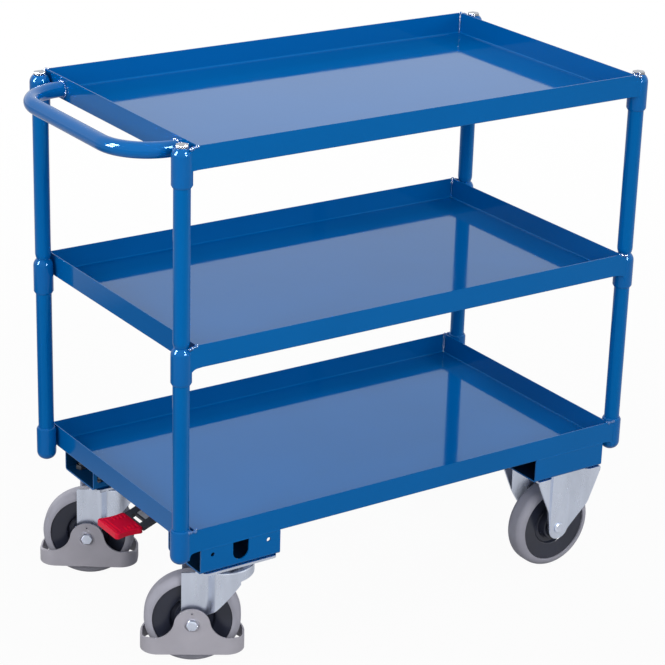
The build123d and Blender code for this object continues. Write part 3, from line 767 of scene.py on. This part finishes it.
FINISH_OF = {
    PAINT_SLOT: paint,
    "zinc_plate": zinc,
    "grey_tyre": tyre_rubber,
    "dark_hub": hub_plastic,
    "grey_guard": guard_plastic,
    "red_pad": pad_plastic,
    "dark_steel": lever_coat,
    "bearing_steel": bearing_steel,
    "dark_bush": bush_plastic,
}


# Mesh helpers


def ear_seams(tray, shapes):
    """Both places along X where the side walls of a tray meet its sleeves."""
    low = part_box(f"{tray}_tray")[0]
    inner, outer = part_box(f"{tray}_sleeves")
    reach = shapes.sleeve_radius
    inset = reach - (low.y - inner.y)
    side = math.sqrt(reach * reach - inset * inset)
    return inner.x + reach + side, outer.x - reach - side


def tray_inside(tray, shapes):
    """Least and greatest corner of the space inside a tray."""
    low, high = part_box(f"{tray}_tray")
    start, end = ear_seams(tray, shapes)
    gap = shapes.ear_run + shapes.sheet
    return (
        Vector((start + gap, low.y + shapes.sheet, FLOORS[tray])),
        Vector((end - gap, high.y - shapes.sheet, high.z)),
    )


def dress(node):
    """Gives a CAD node its finish and leaves its shape alone."""
    mesh = NODES[node].data
    mesh.materials.clear()
    mesh.materials.append(FINISH_OF[SLOT_OF[node]]())


def publish(bm, name, slot, body, nodes=(), look=None, sparkle=False):
    """Turns a bmesh into a piece of the trolley that rides on a body and may show mirror spots."""
    mesh = bpy.data.meshes.new(name)
    bm.to_mesh(mesh)
    bm.free()
    mesh.materials.append((look or FINISH_OF[slot])())
    piece = bpy.data.objects.new(name, mesh)
    bpy.context.scene.collection.objects.link(piece)
    normals = piece.modifiers.new("Even normals", "WEIGHTED_NORMAL")
    normals.keep_sharp = True
    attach(piece, body)
    if nodes:
        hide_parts(*nodes)
    if sparkle:
        bpy.data.collections[SPARKLING].objects.link(piece)


def replace(bm, node, look=None, sparkle=False):
    """Puts a reworked copy of a CAD node in its place."""
    publish(bm, node + "_skin", SLOT_OF[node], BODY_OF[node], (node,), look, sparkle)


def merged(node):
    """The node's mesh with its corners joined."""
    bm = bmesh.new()
    bm.from_mesh(NODES[node].data)
    bmesh.ops.remove_doubles(bm, verts=bm.verts, dist=JOIN_GAP)
    return bm


def round_edges(bm, size, angle=EDGE_ANGLE, segments=2):
    """Rounds the edges that turn by more than an angle and shades the rest smooth."""
    limit = math.radians(angle)
    sharp = [edge for edge in bm.edges if edge.is_manifold and edge.calc_face_angle() > limit]
    bmesh.ops.bevel(
        bm,
        geom=sharp,
        offset=size,
        offset_type="OFFSET",
        segments=segments,
        profile=0.5,
        affect="EDGES",
        material=-1,
        clamp_overlap=True,
    )
    soften(bm)


def soften(bm, angle=SMOOTH_ANGLE):
    """Shades smooth over every edge that turns by less than an angle."""
    for face in bm.faces:
        face.smooth = True
    for edge in bm.edges:
        edge.smooth = not edge.is_manifold or edge.calc_face_angle() < math.radians(angle)


def refine(node, size, look=None, sparkle=False):
    """Replaces a CAD node by a copy with rounded edges and its flat areas in one face each."""
    bm = merged(node)
    limit = math.radians(FLAT_ANGLE)
    bmesh.ops.dissolve_limit(bm, angle_limit=limit, verts=bm.verts, edges=bm.edges)
    round_edges(bm, size)
    replace(bm, node, look, sparkle)


def smooth(node):
    """Replaces a turned CAD node by a copy that is shaded smooth."""
    bm = merged(node)
    soften(bm, TURNED_ANGLE)
    replace(bm, node)


def turn_smooth(node, size):
    """Replaces a turned CAD node by a copy with rounded edges that show mirror spots."""
    bm = merged(node)
    round_edges(bm, size, TURNED_ANGLE, segments=3)
    replace(bm, node, sparkle=True)


# Operators


class TROLLEY_OT_stage(bpy.types.Operator):
    """Makes the floor, the lamps, the room and the camera"""

    bl_idname = "trolley.stage"
    bl_label = "Stage"

    def execute(self, context):
        scene = context.scene
        studio = scene.trolley_studio
        scene.view_settings.view_transform = "Standard"
        self.make_room(scene, studio)
        self.lay_sheet(scene, "Floor", FLOOR_REACH, self.floor_look(studio))
        for name, place in LAMPS.items():
            self.make_lamp(scene, name, getattr(studio, f"{name.lower()}_power"), place)
        bpy.data.collections.new(SPARKLING)
        for count, place in enumerate(SPARKS):
            self.make_spark(scene, f"Spark_{count}", studio.spark, place)
        self.make_camera(scene, studio)
        return {"FINISHED"}

    def make_room(self, scene, studio):
        """Even light from all round, behind a white backdrop."""
        world = bpy.data.worlds.new("Room")
        world.use_nodes = True
        tree = world.node_tree
        light = tree.nodes["Background"]
        light.inputs["Color"].default_value = WHITE
        light.inputs["Strength"].default_value = studio.room
        seen = tree.nodes.new("ShaderNodeBackground")
        seen.inputs["Color"].default_value = WHITE
        self.choose(tree, light, seen, self.seen_rays(tree))
        scene.world = world

    def choose(self, tree, lit, seen, factor):
        """Mixes two shaders of a world or a material and gives the mix to its output."""
        mix = tree.nodes.new("ShaderNodeMixShader")
        tree.links.new(factor, mix.inputs["Fac"])
        tree.links.new(lit.outputs[0], mix.inputs[1])
        tree.links.new(seen.outputs[0], mix.inputs[2])
        target = tree.nodes.get("World Output") or tree.nodes["Material Output"]
        tree.links.new(mix.outputs[0], target.inputs["Surface"])

    def seen_rays(self, tree):
        """One for rays that show the background: straight, mirrored or let through."""
        path = tree.nodes.new("ShaderNodeLightPath")
        shown = join(tree, "MAXIMUM", path.outputs["Is Camera Ray"], path.outputs["Is Glossy Ray"])
        return join(tree, "MAXIMUM", shown, path.outputs["Is Transmission Ray"])

    def lay_sheet(self, scene, name, reach, material):
        """Square sheet that belongs to the stage."""
        bm = bmesh.new()
        bmesh.ops.create_grid(bm, x_segments=1, y_segments=1, size=reach)
        mesh = bpy.data.meshes.new(name)
        bm.to_mesh(mesh)
        bm.free()
        mesh.materials.append(material)
        sheet = bpy.data.objects.new(name, mesh)
        scene.collection.objects.link(sheet)
        return sheet

    def floor_look(self, studio):
        """Floor that shows as white, is dimmer in mirrors, and dark there where a card lies."""
        material = bpy.data.materials.new("Floor")
        material.use_nodes = True
        tree = material.node_tree
        lit = tree.nodes["Principled BSDF"]
        lit.inputs["Base Color"].default_value = (*studio.floor, 1.0)
        lit.inputs["Roughness"].default_value = 0.9
        lit.inputs["Specular IOR Level"].default_value = 0.0
        white = tree.nodes.new("ShaderNodeEmission")
        mirrored = tree.nodes.new("ShaderNodeLightPath").outputs["Is Glossy Ray"]
        fade = self.ramp_round(tree, FLOOR_MIDDLE, FLOOR_FADE)
        fade.inputs["To Min"].default_value = FLOOR_SHARE
        share = blend(tree, fade.outputs["Result"], studio.floor_mirror, mirrored)
        share = join(tree, "MULTIPLY", share, self.seen_rays(tree))
        card = self.ramp_round(tree, CARD_PLACE, CARD_FADE)
        dark = join(tree, "MULTIPLY", card.outputs["Result"], mirrored)
        tree.links.new(blend(tree, 1.0, studio.card, dark), white.inputs["Strength"])
        self.choose(tree, lit, white, blend(tree, share, 1.0, dark))
        return material

    def ramp_round(self, tree, middle, distances):
        """Map Range node that rises between two distances from a point of the floor."""
        place = tree.nodes.new("ShaderNodeTexCoord")
        away = tree.nodes.new("ShaderNodeVectorMath")
        away.operation = "DISTANCE"
        away.inputs[1].default_value = middle
        ramp = ramp_over(tree, *distances)
        tree.links.new(place.outputs["Object"], away.inputs[0])
        tree.links.new(away.outputs["Value"], ramp.inputs["Value"])
        return ramp

    def face_trolley(self, holder, place):
        """Puts a lamp or a panel in its place and turns it to the trolley."""
        holder.location = place
        holder.rotation_euler = (AIM - Vector(place)).to_track_quat("-Z", "Y").to_euler()

    def make_lamp(self, scene, name, power, place):
        """Soft lamp that lights the trolley and doesn't show in mirrors."""
        lamp = bpy.data.lights.new(name, "AREA")
        lamp.energy = power
        lamp.size = LAMP_WIDTH
        holder = bpy.data.objects.new(name, lamp)
        holder.visible_glossy = False
        self.face_trolley(holder, place)
        scene.collection.objects.link(holder)

    def make_spark(self, scene, name, strength, place):
        """Bright panel that lights nothing and shows as a spot in the rounded glossy pieces."""
        material = bpy.data.materials.new(name)
        material.use_nodes = True
        material.cycles.emission_sampling = "NONE"
        tree = material.node_tree
        glow = tree.nodes.new("ShaderNodeEmission")
        glow.inputs["Strength"].default_value = strength
        tree.links.new(glow.outputs[0], tree.nodes["Material Output"].inputs["Surface"])
        panel = self.lay_sheet(scene, name, SPARK_REACH, material)
        self.face_trolley(panel, place)
        panel.visible_camera = False
        panel.visible_diffuse = False
        panel.visible_transmission = False
        panel.visible_shadow = False
        panel.light_linking.receiver_collection = bpy.data.collections[SPARKLING]

    def make_camera(self, scene, studio):
        """Camera at the photograph's viewing angle."""
        camera = bpy.data.cameras.new("Camera")
        camera.lens = studio.lens
        camera.sensor_width = SENSOR
        holder = bpy.data.objects.new("Camera", camera)
        flat = math.cos(studio.elevation)
        east = math.sin(studio.azimuth) * flat
        north = -math.cos(studio.azimuth) * flat
        back = Vector((east, north, math.sin(studio.elevation)))
        right = Vector((0.0, 0.0, 1.0)).cross(back).normalized()
        turn = Matrix((right, back.cross(right), back)).transposed()
        turn = turn @ Matrix.Rotation(studio.roll, 3, "Z")
        holder.matrix_world = Matrix.Translation(studio.eye) @ turn.to_4x4()
        scene.collection.objects.link(holder)
        scene.camera = holder


class TROLLEY_OT_trays(bpy.types.Operator):
    """Finishes the three trays"""

    bl_idname = "trolley.trays"
    bl_label = "Trays"

    def execute(self, context):
        shapes = context.scene.trolley_shapes
        folds = bmesh.new()
        for tray in TRAYS:
            refine(f"{tray}_tray", shapes.sheet_edge, look=tray_paint)
            self.round_fold(folds, tray, shapes)
        soften(folds)
        publish(folds, "tray_folds", PAINT_SLOT, "frame")
        return {"FINISHED"}

    def fold_profile(self, shapes):
        """Inset and height of each ring of a fold: a quarter hollow, closed inside the sheet."""
        radius = shapes.fold_radius
        sunk = shapes.sheet / 3.0
        turns = [math.radians(90.0 * step / FOLD_STEPS) for step in range(FOLD_STEPS + 1)]
        hollow = [(radius * (1.0 - math.sin(turn)), radius * (1.0 - math.cos(turn))) for turn in turns]
        return hollow + [(-sunk, radius), (-sunk, -sunk), (radius, -sunk)]

    def round_fold(self, bm, tray, shapes):
        """Hollow rounding all along the fold between a tray's floor and its walls."""
        low, high = tray_inside(tray, shapes)
        middle, half = (low + high) / 2.0, (high - low) / 2.0
        corners = bmesh.ops.create_grid(bm, x_segments=1, y_segments=1, size=1.0)["verts"]
        bmesh.ops.delete(bm, geom=corners[0].link_faces[:], context="FACES_ONLY")
        first = ring = list(dict.fromkeys(edge for corner in corners for edge in corner.link_edges))
        centre = Vector()
        for count, (inset, height) in enumerate(self.fold_profile(shapes)):
            if count:
                grown = bmesh.ops.extrude_edge_only(bm, edges=ring)["geom"]
                corners = [item for item in grown if isinstance(item, bmesh.types.BMVert)]
                edges = [item for item in grown if isinstance(item, bmesh.types.BMEdge)]
                ring = [edge for edge in edges if all(corner in corners for corner in edge.verts)]
                centre = middle
            for corner in corners:
                corner.co.x = middle.x + math.copysign(half.x - inset, corner.co.x - centre.x)
                corner.co.y = middle.y + math.copysign(half.y - inset, corner.co.y - centre.y)
                corner.co.z = low.z + height
        bmesh.ops.bridge_loops(bm, edges=first + ring)
        bmesh.ops.recalc_face_normals(bm, faces=bm.faces)


class TROLLEY_OT_posts(bpy.types.Operator):
    """Finishes the sleeves, posts and what holds them"""

    bl_idname = "trolley.posts"
    bl_label = "Posts and sleeves"

    def execute(self, context):
        shapes = context.scene.trolley_shapes
        for tray in TRAYS:
            refine(f"{tray}_sleeves", shapes.press_edge, look=bright_paint, sparkle=tray != "lower")
        for node in ("upper_posts", "lower_posts"):
            refine(node, shapes.press_edge)
        refine("post_bolts", shapes.bolt_edge, look=bolt_zinc, sparkle=True)
        for node in ("post_plugs", "middle_studs"):
            dress(node)
        return {"FINISHED"}


class TROLLEY_OT_handle(bpy.types.Operator):
    """Finishes the push handle"""

    bl_idname = "trolley.handle"
    bl_label = "Handle"

    def execute(self, context):
        refine("handle", context.scene.trolley_shapes.sheet_edge, look=bright_paint, sparkle=True)
        return {"FINISHED"}


class TROLLEY_OT_welds(bpy.types.Operator):
    """Adds the weld beads at the corners, the handle and the brackets"""

    bl_idname = "trolley.welds"
    bl_label = "Weld beads"

    def execute(self, context):
        shapes = context.scene.trolley_shapes
        seams = bmesh.new()
        lumps = bmesh.new()
        lower_lumps = bmesh.new()
        for tray in TRAYS:
            self.join_ears(seams, lower_lumps if tray == "lower" else lumps, tray, shapes)
            self.close_corners(lumps, tray, shapes)
        publish(seams, "ear_seams", PAINT_SLOT, "frame")
        publish(lower_lumps, "lower_ear_welds", PAINT_SLOT, "frame", look=weld_paint)
        publish(lumps, "ear_welds", PAINT_SLOT, "frame", look=weld_paint, sparkle=True)
        roots = bmesh.new()
        self.ring_roots(roots, shapes)
        publish(roots, "handle_welds", PAINT_SLOT, "frame", look=weld_paint, sparkle=True)
        grooves = bmesh.new()
        for kind in KINDS:
            self.fill_seam(grooves, f"{kind}_bracket_near", shapes.weld_radius / 2.0)
        publish(grooves, "bracket_seams", PAINT_SLOT, "frame")
        return {"FINISHED"}

    def fill_seam(self, bm, node, radius):
        """Fillet of paint along the groove between a bracket and the tray above it."""
        low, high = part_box(node)
        middle = (low + high) / 2.0
        middle.y = low.y + BEAD_INSET * radius
        middle.z = high.z + BEAD_LIFT * radius
        bmesh.ops.create_cone(
            bm,
            cap_ends=True,
            segments=SEAM_SIDES,
            radius1=radius,
            radius2=radius,
            depth=high.x - low.x - 2.0 * radius,
            matrix=Matrix.Translation(middle) @ Matrix.Rotation(math.radians(90.0), 4, "Y"),
        )
        soften(bm)

    def join_ears(self, seams, lumps, tray, shapes):
        """Smooth seams up the sleeves where the side walls meet them, and lumps in the notches above."""
        low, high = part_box(f"{tray}_tray")
        radius = shapes.weld_radius
        drop = Vector((0.0, 0.0, EAR_DROP[tray]))
        for x, inward in zip(ear_seams(tray, shapes), (1.0, -1.0)):
            for y, back in ((low.y, 1.0), (high.y, -1.0)):
                foot = Vector((x, y + back * radius / 2.0, low.z))
                head = Vector((x, foot.y, high.z))
                self.bead(seams, foot, head - drop, SEAM_SIZE * radius, pitch=0.6, uneven=0.3)
                rim = head + Vector((inward * shapes.ear_run, 0.0, -radius / 2.0))
                self.bead(lumps, head - drop / 2.0, rim, LUMP_SIZE * radius, pitch=1.3, uneven=1.0)

    def close_corners(self, bm, tray, shapes):
        """Upright beads in the inner corners of a tray."""
        low, high = tray_inside(tray, shapes)
        rise = Vector((0.0, 0.0, high.z - low.z))
        inset = BEAD_INSET * shapes.corner_radius
        for x in (low.x + inset, high.x - inset):
            for y in (low.y + inset, high.y - inset):
                foot = Vector((x, y, low.z))
                self.bead(bm, foot, foot + rise, shapes.corner_radius, pitch=1.5, uneven=1.0)

    def ring_roots(self, bm, shapes):
        """Rings of bead round the two ends of the handle."""
        low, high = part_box("handle")
        radius = (high.z - low.z) / 2.0
        for y in (low.y + radius, high.y - radius):
            centre = Vector((high.x - shapes.weld_radius / 2.0, y, low.z + radius))
            for count in range(RING_DROPS):
                turn = math.tau * count / RING_DROPS
                ray = Vector((0.0, math.cos(turn), math.sin(turn)))
                self.drop(bm, centre + ray * radius, count, shapes.weld_radius, uneven=1.0)

    def bead(self, bm, start, end, radius, pitch, uneven):
        """Row of drops from one point to another, a number of radii apart."""
        count = max(2, round((end - start).length / (pitch * radius)))
        for step in range(count + 1):
            self.drop(bm, start.lerp(end, step / count), step, radius, uneven)

    def drop(self, bm, place, count, radius, uneven):
        """One drop of a bead, more or less uneven in size."""
        swell = sum(share * math.sin(pace * count) for share, pace in DROP_WAVES)
        size = radius * (DROP_SIZE + uneven * swell)
        spot = Matrix.Translation(place)
        drop = bmesh.ops.create_icosphere(bm, subdivisions=2, radius=size, matrix=spot)
        for corner in drop["verts"]:
            for face in corner.link_faces:
                face.smooth = True


class TROLLEY_OT_brackets(bpy.types.Operator):
    """Finishes the castor brackets and their bolts"""

    bl_idname = "trolley.brackets"
    bl_label = "Castor brackets"

    def execute(self, context):
        shapes = context.scene.trolley_shapes
        for side in SIDES:
            for kind in KINDS:
                refine(f"{kind}_bracket_{side}", shapes.sheet_edge, look=partial(hollow_shade_paint, side))
        for node in ("plate_bolts", "plate_nuts"):
            refine(node, shapes.press_edge, look=nut_zinc)
        return {"FINISHED"}


class TROLLEY_OT_castors(bpy.types.Operator):
    """Finishes the forks, plates and axles"""

    bl_idname = "trolley.castors"
    bl_label = "Castor forks"

    def execute(self, context):
        shapes = context.scene.trolley_shapes
        for side in SIDES:
            refine(f"swivel_fork_{side}", shapes.press_edge)
            refine(f"fixed_fork_{side}", shapes.press_edge)
            refine(f"axle_bolt_swivel_{side}", shapes.bolt_edge, sparkle=True)
            refine(f"axle_nut_swivel_{side}", shapes.bolt_edge)
            dress(f"axle_sleeve_swivel_{side}")
        refine("swivel_plates", shapes.press_edge)
        refine("axle_bolts_fixed", shapes.press_edge, sparkle=True)
        refine("axle_nuts_fixed", shapes.press_edge)
        for node in ("kingpins", "bearing_balls", "axle_sleeves_fixed"):
            dress(node)
        return {"FINISHED"}


class TROLLEY_OT_wheels(bpy.types.Operator):
    """Finishes the tyres, hubs and wheel bearings"""

    bl_idname = "trolley.wheels"
    bl_label = "Wheels"

    def execute(self, context):
        shapes = context.scene.trolley_shapes
        for side in SIDES:
            for kind in KINDS:
                smooth(f"tyre_{kind}_{side}")
                turn_smooth(f"hub_{kind}_{side}", shapes.bolt_edge)
                dress(f"wheel_bearings_{kind}_{side}")
        return {"FINISHED"}


class TROLLEY_OT_guards(bpy.types.Operator):
    """Finishes the foot guards"""

    bl_idname = "trolley.guards"
    bl_label = "Foot guards"

    def execute(self, context):
        for side in SIDES:
            refine(f"guard_{side}", context.scene.trolley_shapes.mould_edge)
        return {"FINISHED"}


class TROLLEY_OT_brake(bpy.types.Operator):
    """Finishes the pedal, its shaft and the brake pieces"""

    bl_idname = "trolley.brake"
    bl_label = "Foot brake"

    def execute(self, context):
        shapes = context.scene.trolley_shapes
        refine("pedal_pad", shapes.sheet_edge)
        refine("pedal_tongue", shapes.press_edge, look=tongue_zinc)
        for node in ("pedal_lever", "brake_shaft", "brake_cams", "shaft_hangers"):
            refine(node, shapes.press_edge)
        dress("shaft_bushes")
        for side in SIDES:
            refine(f"brake_shoe_{side}", shapes.press_edge)
            refine(f"brake_plunger_{side}", shapes.press_edge)
        return {"FINISHED"}


class TROLLEY_PT_panel(bpy.types.Panel):
    """Lists the steps and settings of the trolley"""

    bl_idname = "TROLLEY_PT_panel"
    bl_label = "Shelf trolley"
    bl_space_type = "VIEW_3D"
    bl_region_type = "UI"
    bl_category = "Trolley"

    def draw(self, context):
        for operator in OPERATORS:
            self.layout.operator(operator.bl_idname)
        for name in GROUPS:
            group = getattr(context.scene, name)
            for label in group.__annotations__:
                self.layout.prop(group, label)


GROUPS = {
    "trolley_finishes": TrolleyFinishes,
    "trolley_shapes": TrolleyShapes,
    "trolley_studio": TrolleyStudio,
}
OPERATORS = (
    TROLLEY_OT_stage,
    TROLLEY_OT_trays,
    TROLLEY_OT_posts,
    TROLLEY_OT_handle,
    TROLLEY_OT_welds,
    TROLLEY_OT_brackets,
    TROLLEY_OT_castors,
    TROLLEY_OT_wheels,
    TROLLEY_OT_guards,
    TROLLEY_OT_brake,
)


def register():
    """Adds the settings, the operators and the panel."""
    for name, group in GROUPS.items():
        bpy.utils.register_class(group)
        setattr(bpy.types.Scene, name, bpy.props.PointerProperty(type=group))
    for operator in OPERATORS:
        bpy.utils.register_class(operator)
    bpy.utils.register_class(TROLLEY_PT_panel)


def unregister():
    """Takes away what register added, in reverse order."""
    bpy.utils.unregister_class(TROLLEY_PT_panel)
    for operator in reversed(OPERATORS):
        bpy.utils.unregister_class(operator)
    for name, group in reversed(GROUPS.items()):
        delattr(bpy.types.Scene, name)
        bpy.utils.unregister_class(group)


def main():
    """Builds the stage and every piece."""
    register()
    bpy.ops.trolley.stage()
    bpy.ops.trolley.trays()
    bpy.ops.trolley.posts()
    bpy.ops.trolley.handle()
    bpy.ops.trolley.welds()
    bpy.ops.trolley.brackets()
    bpy.ops.trolley.castors()
    bpy.ops.trolley.wheels()
    bpy.ops.trolley.guards()
    bpy.ops.trolley.brake()


if __name__ == "__main__":
    main()
